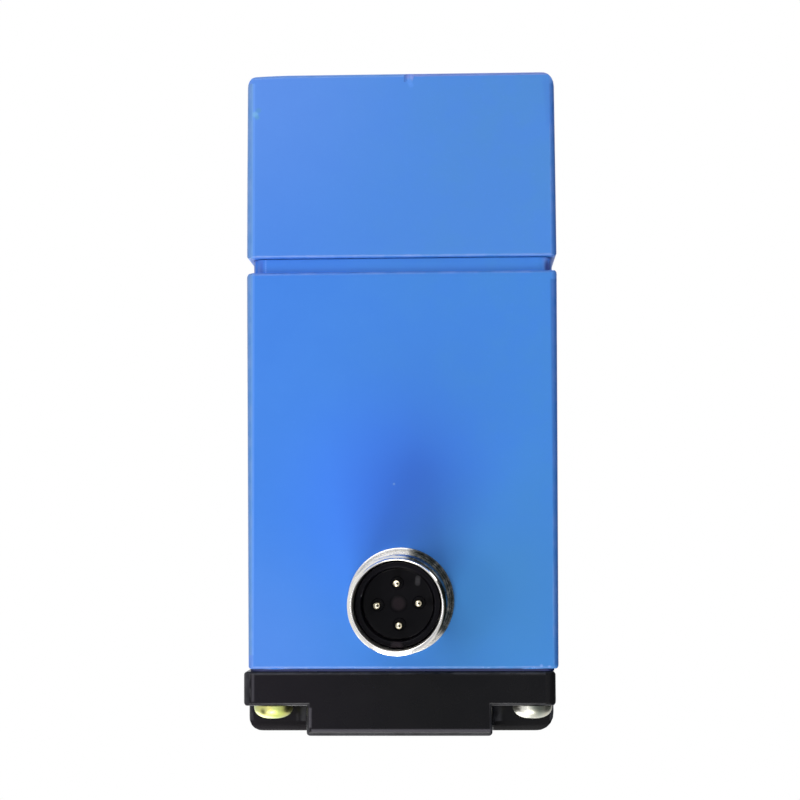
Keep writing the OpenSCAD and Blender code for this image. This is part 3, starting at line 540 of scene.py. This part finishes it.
def nickel():
    """Nickel plate, polished outside and dull in the plug's bore."""
    g = material("nickel_plate")
    wide = g.noise(3 * MM, 3)
    shade = g.mix(g.ramp(wide, 0.4, 0.8, 0, 0.25), (0.80, 0.78, 0.74), (0.62, 0.58, 0.52))
    stretched = g.node("ShaderNodeMapping", {"Vector": g.place, "Scale": (1, 1, 12)}).outputs[0]
    streaks = g.noise(0.3 * MM, 3, 0.6, stretched)
    flat = g.vector("MULTIPLY", g.place, (1, 1, 0))["Vector"]
    from_axis = g.vector("SUBTRACT", flat, (PLUG.x, PLUG.y, 0))["Vector"]
    radius = g.vector("LENGTH", from_axis)["Value"]
    bore = g.ramp(radius, 5.32 * MM, 5.38 * MM, 1.0, 0.0)
    # Painted shade in the thread and on the collar, on the side away from the light
    way = g.vector("NORMALIZE", from_axis)["Vector"]
    side = g.vector("DOT_PRODUCT", way, (-0.94, 0.34, 0))["Value"]
    outside = g.math("MULTIPLY", g.ramp(radius, 5.40 * MM, 5.48 * MM),
                     g.ramp(g.axis(2), FACE_Z - 14.80 * MM, FACE_Z - 14.70 * MM))
    patchy = g.ramp(g.noise(0.8 * MM, 3, 0.6), 0.25, 0.6, 0.72, 0.96)
    thread_shade = g.math("MULTIPLY", g.math("MULTIPLY", outside, g.ramp(side, 0.42, 0.62)), patchy)
    shade = g.mix(thread_shade, shade, (0.030, 0.040, 0.036))
    rough = g.math("ADD", g.spread(streaks, 0.10, 0.20), g.math("MULTIPLY", bore, 0.20))
    rough = g.math("ADD", rough, g.math("MULTIPLY", outside, 0.14))
    return g.finish(shade, rough, g.bump(streaks, 0.002 * MM), Metallic=1.0)


def yellow_zinc():
    g = material("yellow_zinc")
    tint = g.noise(2.2 * MM, 3, 0.6, distortion=0.6)
    yellow = g.mix(g.ramp(tint, 0.35, 0.65), (0.60, 0.57, 0.19), (0.50, 0.58, 0.27))
    pale = g.mix(g.ramp(tint, 0.35, 0.65), (0.62, 0.59, 0.51), (0.52, 0.55, 0.48))
    colour = g.mix(g.ramp(g.axis(0), -2 * MM, 2 * MM), pale, yellow)
    colour = g.mix(g.ramp(g.noise(1.1 * MM, 2), 0.6, 0.8, 0, 0.4), colour, (0.60, 0.50, 0.34))
    fine = g.noise(0.25 * MM, 2)
    return g.finish(g.marks(colour, ZINC_HIGHLIGHTS_AND_SHADE), g.spread(fine, 0.36, 0.48),
                    g.bump(fine, 0.005 * MM, 0.6), Metallic=1.0)


def seal_rubber():
    """Dark blue at the lens frame, lighter blue at the cover as painted light in the groove's shaded gap."""
    g = material("seal_rubber")
    wide = g.noise(6 * MM, 3)
    colour = g.mix(g.ramp(g.axis(1), -1 * MM, 1 * MM), (0.008, 0.014, 0.085), (0.07, 0.26, 0.72))
    colour = g.mix(g.spread(wide, 0, 0.35), colour, (0.020, 0.030, 0.10))
    rough = g.spread(wide, 0.54, 0.66)
    return g.finish(colour, rough, g.bump(g.noise(0.5 * MM, 2), 0.008 * MM))


def glass(name, tint):
    g = material(name)
    wide = g.noise(8 * MM, 2)
    return g.finish(g.mix(wide, tint, (1, 1, 1)), g.ramp(wide, 0.4, 0.7, 0.01, 0.04),
                    g.bump(wide, 0.002 * MM, 0.3), Transmission_Weight=1.0, IOR=1.5)


FLOOR_GLOW = 0.32


def pale_floor():
    """Floor with the part's shadow on it that looks pale to the camera, in reflections and through glass."""
    g = material("floor")
    path = g.node("ShaderNodeLightPath").outputs
    seen = g.math("MAXIMUM", path["Is Glossy Ray"], path["Is Transmission Ray"])
    seen = g.math("MAXIMUM", path["Is Camera Ray"], seen)
    wide = g.noise(60 * MM, 2)
    colour = g.mix(wide, (0.87, 0.87, 0.86), (0.89, 0.89, 0.88))
    rough = g.spread(wide, 0.66, 0.74)
    glow = g.math("MULTIPLY", seen, FLOOR_GLOW)
    return g.finish(colour, rough, g.bump(g.noise(1 * MM, 2), 0.01 * MM),
                    Emission_Color=(1.0, 0.98, 0.93), Emission_Strength=glow)


MATERIAL = {
    "blue_paint": blue_paint(),
    "black_frame": black_frame(),
    "window_glass": glass("window_glass", (0.90, 0.97, 0.96)),
    "lens_glass": glass("lens_glass", (0.93, 0.97, 0.99)),
    "seal_rubber": seal_rubber(),
    "bright_steel": metal("bright_steel", (0.66, 0.67, 0.68), 0.28),
    "tin_plate": metal("tin_plate", (0.70, 0.71, 0.70), 0.3),
    "gold_plate": metal("gold_plate", (0.80, 0.74, 0.56), 0.12, PIN_TIP_SHADE),
    "yellow_zinc": yellow_zinc(),
    "nickel_plate": nickel(),
    "insert_plastic": insert_plastic(),
    "indicator_plastic": plastic("indicator_plastic", (0.62, 0.70, 0.45), 0.12, vary=0.1,
                                 Transmission_Weight=0.7),
}
for slot, colour, roughness in (
        ("lead_insulation", (0.30, 0.10, 0.04), 0.4),
        ("carrier_plastic", (0.012, 0.012, 0.013), 0.55),
        ("circuit_board", (0.015, 0.12, 0.05), 0.35),
        ("chip_plastic", (0.012, 0.012, 0.013), 0.5),
        ("tape_film", (0.40, 0.16, 0.03), 0.3),
        ("capacitor_sleeve", (0.02, 0.025, 0.07), 0.35),
        ("led_resin", (0.80, 0.72, 0.35), 0.2)):
    MATERIAL[slot] = plastic(slot, colour, roughness)
for row in frame["record"]["subparts"]:
    node = frame["nodes"][row["node"]]
    node.data.materials.clear()
    node.data.materials.append(MATERIAL[row["material_slot"]])


def add_piece(name, mesh, slot, *nodes):
    """Object that rides on the one body and stands for nodes of the frame."""
    piece = bpy.data.objects.new(name, mesh)
    scene.collection.objects.link(piece)
    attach(piece, "root")
    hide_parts(*nodes)
    piece.data.materials.clear()
    piece.data.materials.append(MATERIAL[slot])
    return piece


# ---------------------------------------------------------------- castings and frame

# The housing's sides draw in by this much towards the lens frame
HOUSING_DRAFT = 0.35 * MM

# Small forms of the photo that the plain solids don't have: a shallower groove on the -X side, worn rear
# corners on the +X side as length and depth, rounder front corners of the lens frame as side, old and new
# radius, a joint between frame and housing that lies further back, and its seal that stands out at +X
NECK_SHIFT = 0.2 * MM
NECK_SIDE = 2 * MM
COVER_WEAR = (5.5 * MM, 0.2 * MM)
HOUSING_WEAR = (0.9 * MM, 0.25 * MM)
WEAR_REACH = 3 * MM
WEAR_CUTS = (0.0, 0.3, 0.55, 0.75)
WEAR_CURVE = 1.5
FRONT_CORNERS = ((1, 1.5 * MM, 1.90 * MM), (-1, 2.0 * MM, 2.40 * MM))
CORNER_SLACK = 0.01
JOINT_SHIFT = 0.14 * MM
SEAL_SIDE = 18.5 * MM
SEAL_SHIFT = 0.35 * MM
HAIR = 0.01 * MM

# Rounding of the edges
CASTING_EDGE = 0.12 * MM
COVER_EDGE = 0.1 * MM


def drafted(mesh):
    """Draws the housing's sides in towards the lens frame."""
    length = GROOVE_FRONT - HOUSING_FRONT
    for v in mesh.vertices:
        share = min(max((GROOVE_FRONT - v.co.y) / length, 0), 1)
        v.co.x *= 1 - HOUSING_DRAFT / HALF_W * share
    return mesh


def shallower(mesh):
    """Makes the groove shallower on the -X side."""
    for v in mesh.vertices:
        if v.co.y > GROOVE_FRONT - HAIR and v.co.x < NECK_SIDE - HALF_W:
            v.co.x -= NECK_SHIFT
    return mesh


def worn_corner(mesh, wear, rear):
    """Lowers a rear edge towards +X over the wear's length by its depth."""
    length, depth = wear
    bm = bmesh.new()
    bm.from_mesh(mesh)
    for share in WEAR_CUTS:
        geom = bm.verts[:] + bm.edges[:] + bm.faces[:]
        bmesh.ops.bisect_plane(bm, geom=geom, plane_co=(HALF_W - length * (1 - share), 0, 0),
                               plane_no=(1, 0, 0))
    for v in bm.verts:
        share = max(0, (v.co.x - HALF_W + length) / length)
        if rear - WEAR_REACH < v.co.y < rear + HAIR:
            v.co.y -= depth * share ** WEAR_CURVE
    bm.to_mesh(mesh)
    bm.free()
    return mesh


def joint_back(mesh, y, reach):
    """Moves a face across Y, with its rounded edges, back by the joint's shift."""
    for v in mesh.vertices:
        if abs(v.co.y - y) < reach:
            v.co.y += JOINT_SHIFT
    return mesh


def rounder_corners(mesh):
    """Gives the frame's two front corners their larger radii."""
    for side, old, new in FRONT_CORNERS:
        edge_x = lens_hi.x if side > 0 else lens_lo.x
        for v in mesh.vertices:
            dx = side * (v.co.x - edge_x + side * old) / old
            dy = (FRONT_Y + old - v.co.y) / old
            if -CORNER_SLACK < min(dx, dy) and max(dx, dy) < 1 + CORNER_SLACK:
                v.co.x = edge_x - side * (new - new * dx)
                v.co.y = FRONT_Y + new - new * dy
    return mesh


housing_mesh = worn_corner(drafted(node_copy("housing", "main_housing")), HOUSING_WEAR, GROOVE_FRONT)
housing_mesh = joint_back(shallower(housing_mesh), HOUSING_FRONT, 0.6 * MM)
soften(add_piece("housing_casting", smooth(housing_mesh), "blue_paint", "main_housing"), CASTING_EDGE)
cover_mesh = worn_corner(node_copy("cover", "rear_cover"), COVER_WEAR, cover_hi.y)
soften(add_piece("cover_casting", smooth(cover_mesh), "blue_paint", "rear_cover"), COVER_EDGE)
frame_mesh = joint_back(rounder_corners(node_copy("front_frame", "lens_frame")), lens_hi.y, 0.7 * MM)
soften(add_piece("front_frame", smooth(frame_mesh), "black_frame", "lens_frame"), CASTING_EDGE)
seal_mesh = node_copy("frame_seal", "lens_frame_seal")
for v in seal_mesh.vertices:
    v.co.y += JOINT_SHIFT
    v.co.x += SEAL_SHIFT if v.co.x > SEAL_SIDE else 0
add_piece("frame_seal", seal_mesh, "seal_rubber", "lens_frame_seal")


# ---------------------------------------------------------------- plug

# Heights on the plug are measured from the face, downwards negative. The thread's crest and flank are
# shares of half a pitch, and the faded depth is the share of its depth that is left at its upper end
PLUG_L = FACE_Z - sleeve_lo.z
PITCH = 1.0 * MM
CREST_R = 5.9 * MM
THREAD_DEPTH = 0.32 * MM
CREST_SHARE = 0.12
FLANK_SHARE = 0.72
FADED_DEPTH = 0.35
BORE_R = 5.3 * MM
TIP_R = 5.46 * MM
TIP_CHAMFER = 0.25 * MM
THREAD_LOW = -PLUG_L + TIP_CHAMFER
THREAD_HIGH = -1.35 * MM
RUN_OUT = 0.8 * MM
SLEEVE_SIDES = 128
RINGS_PER_PITCH = 14
# Edges of the turned pieces stay sharp above this bend, in degrees
TURNED_SHARP = 35


def thread_ring(z):
    """Ring of the thread's surface: a rounded V along a helix, fading out at its upper end."""
    fade = min(1, max(0, (THREAD_HIGH - z) / RUN_OUT))
    ring = []
    for i in range(SLEEVE_SIDES):
        phase = (z / PITCH - i / SLEEVE_SIDES) % 1
        flank = min(1, max(0, (abs(2 * phase - 1) - CREST_SHARE) / FLANK_SHARE))
        depth = THREAD_DEPTH * flank * (FADED_DEPTH + (1 - FADED_DEPTH) * fade)
        ring.append((CREST_R - depth, z))
    return ring


# Sleeve, from its tip over the thread and the collar to the shank and back through the bore
SHANK_R = 5.0 * MM
SHANK_BORE = 4.15 * MM
SHANK_L = 7.5 * MM
SHANK_CHAMFER = 0.2 * MM
STEP_Z = -1.0 * MM
LIP = TIP_R - BORE_R
LIP_OUT = 0.04 * MM
LIP_BACK = 0.01 * MM
profile = arc_points((TIP_R, -PLUG_L + LIP), LIP, 180, 270, 5)
profile.append((TIP_R + LIP_OUT, -PLUG_L + LIP_BACK))
steps = int((THREAD_HIGH - THREAD_LOW) / PITCH * RINGS_PER_PITCH)
profile += [thread_ring(THREAD_LOW + (THREAD_HIGH - THREAD_LOW) * i / steps) for i in range(steps + 1)]
# Step behind the thread, and the collar with its raised rim, in millimetres
profile += [(r * MM, z * MM) for r, z in (
    (5.62, -1.20), (5.66, -1.00), (6.15, -1.00), (6.24, -0.92), (6.28, -0.60), (6.34, -0.60), (6.40, -0.80),
    (6.60, -0.82), (6.70, -0.76), (6.75, -0.62), (6.75, 0.00))]
profile += [(SHANK_R, 0.0), (SHANK_R, SHANK_L - SHANK_CHAMFER), (SHANK_R - SHANK_CHAMFER, SHANK_L),
            (SHANK_BORE, SHANK_L), (SHANK_BORE, STEP_Z), (BORE_R, STEP_Z)]
sleeve_mesh = revolve(profile, SLEEVE_SIDES, PLUG, closed=True)
add_piece("threaded_sleeve", smooth(sleeve_mesh, TURNED_SHARP), "nickel_plate", "connector_sleeve")

# Insert: a ring round a cup, with the blanked middle hole, the coding rib and four pin collars. The
# rib and the pins are turned round the plug's axis by a few degrees
CUP_Z = -PLUG_L + 3.0 * MM
FLOOR_Z = CUP_Z + 3.0 * MM
INSERT_TOP = 7.8 * MM
INSERT_R = 5.14 * MM
CUP_R = 4.40 * MM
CUP_FILLET = 0.3 * MM
INSERT_EDGE = 0.18 * MM
INSERT_FIT = 0.05 * MM
INSERT_SIDES = 96
# The blanked hole is a low disc: radius and height over the cup's floor, in millimetres
BLANK = ((0, 0.05), (0.95, 0.05), (1.03, 0.03), (1.06, 0.0))
insert_profile = (
    [(r * MM, FLOOR_Z - h * MM) for r, h in BLANK]
    + arc_points((CUP_R - CUP_FILLET, FLOOR_Z - CUP_FILLET), CUP_FILLET, 90, 0, 4)
    + arc_points((CUP_R + INSERT_EDGE, CUP_Z + INSERT_EDGE), INSERT_EDGE, 180, 270, 4)
    + arc_points((INSERT_R - INSERT_EDGE, CUP_Z + INSERT_EDGE), INSERT_EDGE, 270, 360, 4)
    + [(INSERT_R, STEP_Z), (SHANK_BORE - INSERT_FIT, STEP_Z), (SHANK_BORE - INSERT_FIT, INSERT_TOP),
       (0, INSERT_TOP)]
)
RIB_TURN = 1.2
RIB_FOOT = 0.93 * MM
RIB_H = 0.72 * MM
RIB_CURVE = 0.7
RIB_EDGE = 0.1 * MM
RIB_PROUD = 0.15 * MM
RIB_SUNK = 0.3 * MM
RIB_BASE = -INSERT_R + 0.02 * MM
rib_line = [(-RIB_FOOT, 0)]
rib_line += [(-RIB_FOOT * math.cos(math.radians(a)) ** RIB_CURVE, RIB_H * math.sin(math.radians(a)))
             for a in range(15, 90, 15)]
rib_line += [(-x, y) for x, y in reversed(rib_line)]
rib = prism([(x, y + RIB_BASE) for x, y in rib_line], CUP_Z - RIB_PROUD, FLOOR_Z + RIB_SUNK, RIB_EDGE)
rib_place = Matrix.Translation(PLUG) @ Matrix.Rotation(math.radians(RIB_TURN), 4, "Z")
insert_parts = [revolve(insert_profile, INSERT_SIDES, PLUG), moved(rib, rib_place)]
PIN_R = 0.5 * MM
PIN_CIRCLE_R = 2.5 * MM
PIN_TURN = -3
PIN_SIDES = 40
PIN_SHARP = 40
PIN_TIP = -PLUG_L + 2.4 * MM
PIN_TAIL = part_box("contact_pins")[1].z - FACE_Z
pin_profile = ([(0, PIN_TIP)] + arc_points((0, PIN_TIP + PIN_R), PIN_R, -82, 0, 10)
               + [(PIN_R, PIN_TAIL), (0, PIN_TAIL)])
PIN_COLLAR_R = 0.80 * MM
PIN_COLLAR_H = 0.10 * MM
PIN_COLLAR_EDGE = 0.08 * MM
PIN_COLLAR_FOOT = FLOOR_Z + 0.2 * MM
collar_profile = [(PIN_R, PIN_COLLAR_FOOT), (PIN_R, FLOOR_Z - PIN_COLLAR_H),
                  (PIN_COLLAR_R - PIN_COLLAR_EDGE, FLOOR_Z - PIN_COLLAR_H),
                  (PIN_COLLAR_R, FLOOR_Z - PIN_COLLAR_H + PIN_COLLAR_EDGE), (PIN_COLLAR_R, PIN_COLLAR_FOOT)]
pins = []
for i in range(4):
    at = PLUG + Matrix.Rotation(math.radians(PIN_TURN + 90 * i), 4, "Z") @ Vector((PIN_CIRCLE_R, 0, 0))
    pins.append(revolve(pin_profile, PIN_SIDES, at))
    insert_parts.append(revolve(collar_profile, PIN_SIDES, at, closed=True))
insert_mesh = joined("insert", insert_parts)
add_piece("moulded_insert", smooth(insert_mesh, TURNED_SHARP), "insert_plastic", "connector_insert")
add_piece("gilt_pins", smooth(joined("pins", pins), PIN_SHARP), "gold_plate", "contact_pins")


# ---------------------------------------------------------------- screws

# Height of the head's straight rim, chamfers below it and at the screw's tip, and the head's curve
RIM_H = 0.15 * MM
RIM_CHAMFER = 0.06 * MM
SCREW_TIP = 0.3 * MM
HEAD_CURVE = 0.8
SCREW_SIDES = 64
# Cross recess: depth and top as shares of the head's height, half length and half width of its two
# wings as shares of the head's radius, each at the top and at the bottom, and its turn in degrees
RECESS_DEPTH = 0.62
RECESS_TOP = 1.05
WING_TOP = (0.48, 0.17)
WING_BOTTOM = (0.26, 0.11)
RECESS_TURN = 20
# Each screw of a set is turned further than the last, in degrees
SET_TURN = 37


def screw_mesh(head_r, head_h, thread_r, length):
    """Pan-head screw along +Z with its head's seat at z = 0 and a tapered cross recess."""
    rise = head_h - RIM_H
    turns = [math.radians(a) for a in range(75, -1, -5)]
    outline = (
        [(0, head_h)]
        + [(head_r * math.cos(a) ** HEAD_CURVE, RIM_H + rise * math.sin(a) ** HEAD_CURVE) for a in turns]
        + [(head_r, RIM_CHAMFER), (head_r - RIM_CHAMFER, 0), (thread_r, 0),
           (thread_r, -length + SCREW_TIP), (thread_r - SCREW_TIP, -length), (0, -length)]
    )
    head = revolve(outline, SCREW_SIDES, Vector((0, 0, 0)))
    for turn in (0, 90):
        bm = bmesh.new()
        bmesh.ops.create_cube(bm, size=1)
        for v in bm.verts:
            top = v.co.z > 0
            half_l, half_w = WING_TOP if top else WING_BOTTOM
            v.co = Vector((math.copysign(head_r * half_l, v.co.x), math.copysign(head_r * half_w, v.co.y),
                           head_h * (RECESS_TOP if top else 1 - RECESS_DEPTH)))
        wing = bpy.data.meshes.new("wing")
        bm.to_mesh(wing)
        bm.free()
        wing.transform(Matrix.Rotation(math.radians(turn + RECESS_TURN), 4, "Z"))
        head = cut(head, wing)
    return head


def screw_set(name, node, slot, head_r, head_h, thread_r, forward):
    """Four screws at the corners of a node's box; forward is -1 for heads towards -Y, 1 for +Y."""
    lo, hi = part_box(node)
    single = screw_mesh(head_r, head_h, thread_r, hi.y - lo.y - head_h)
    seat_y = lo.y + head_h if forward < 0 else hi.y - head_h
    face = Matrix.Rotation(math.radians(-90 * forward), 4, "X")
    copies = []
    for i, x in enumerate((lo.x + head_r, hi.x - head_r)):
        for j, z in enumerate((lo.z + head_r, hi.z - head_r)):
            turn = Matrix.Rotation(math.radians(SET_TURN * (2 * i + j)), 4, "Z")
            copies.append(moved(single, Matrix.Translation((x, seat_y, z)) @ face @ turn))
    add_piece(name, smooth(joined(name, copies)), slot, node)


screw_set("frame_screws", "lens_frame_screws", "yellow_zinc", 2.5 * MM, 1.8 * MM, 1.25 * MM, -1)
screw_set("cover_screws", "rear_cover_screws", "bright_steel", 2.75 * MM, 2.0 * MM, 1.5 * MM, 1)


# ---------------------------------------------------------------- stage and lights

# Round floor below the part: height and radius in metres
STAGE_Z = -0.55
STAGE_R = 0.9
STAGE_SIDES = 96
floor_mesh = bpy.data.meshes.new("floor")
floor_mesh.from_pydata([(STAGE_R * math.cos(2 * math.pi * i / STAGE_SIDES),
                         STAGE_R * math.sin(2 * math.pi * i / STAGE_SIDES), STAGE_Z)
                        for i in range(STAGE_SIDES)], [], [tuple(range(STAGE_SIDES))])
floor = bpy.data.objects.new("floor", floor_mesh)
scene.collection.objects.link(floor)
floor.data.materials.append(pale_floor())

# The camera sees white. Glossy surfaces see it as well, down to the camera's own dark side and
# a dark corner of the room at the photo's right
world = bpy.data.worlds.new("world")
scene.world = world
sky = Graph(world, "Generated")
path = sky.node("ShaderNodeLightPath").outputs


def along(direction, low, high):
    """0 to 1 as the ray's direction turns towards the given one, between two cosines."""
    cosine = sky.vector("DOT_PRODUCT", sky.place, Vector(direction).normalized())["Value"]
    return sky.ramp(cosine, low, high)


room = sky.mix(along((-0.15, -0.1, -1), 0.60, 0.86), (1, 1, 1), (0.06, 0.06, 0.06))
dark_side = sky.math("MULTIPLY", along((-0.956, 0.292, 0), 0.45, 0.62), along((0, 0, 1), -0.50, -0.30))
room = sky.mix(dark_side, room, (0.012, 0.018, 0.014))
shiny = sky.math("MAXIMUM", path["Is Glossy Ray"], path["Is Transmission Ray"])
seen = sky.mix(shiny, (0.075, 0.10, 0.19), room)
seen = sky.mix(path["Is Camera Ray"], seen, (1, 1, 1))
sky.feed(sky.tree.nodes["Background"].inputs["Color"], seen)

# Where the lights are turned to
AIM = Vector((0, FRONT_Y + 40 * MM, FACE_Z))


def panel(name, place, wide, high, power, colour=(1, 1, 1)):
    """Soft light at a place from the middle of the plug's face, in metres, turned to it."""
    light = bpy.data.lights.new(name, "AREA")
    light.shape = "RECTANGLE"
    light.size = wide
    light.size_y = high
    light.energy = power
    light.color = colour
    lamp = bpy.data.objects.new(name, light)
    lamp.location = AIM + Vector(place)
    lamp.rotation_euler = (AIM - lamp.location).to_track_quat("-Z", "Y").to_euler()
    scene.collection.objects.link(lamp)


# Below the part, for the face with the plug, and above it for its other sides
panel("key", (0.05, -0.40, -0.30), 0.26, 0.26, 1.65, (1.0, 0.98, 0.92))
panel("upper", (0.12, 0.24, -0.38), 0.16, 0.16, 0.33)
panel("left", (0.22, -0.04, -0.46), 0.09, 0.09, 0.23)
panel("right", (-0.12, 0.12, -0.44), 0.20, 0.20, 0.14, (1.0, 0.97, 0.90))
panel("back", (0.10, 0.26, -0.16), 0.30, 0.10, 0.18)
panel("high_front", (0.35, -0.55, 0.45), 0.55, 0.55, 2.8)
panel("high_rear", (-0.40, 0.50, 0.45), 0.55, 0.55, 2.8)

scene.view_settings.view_transform = "Standard"
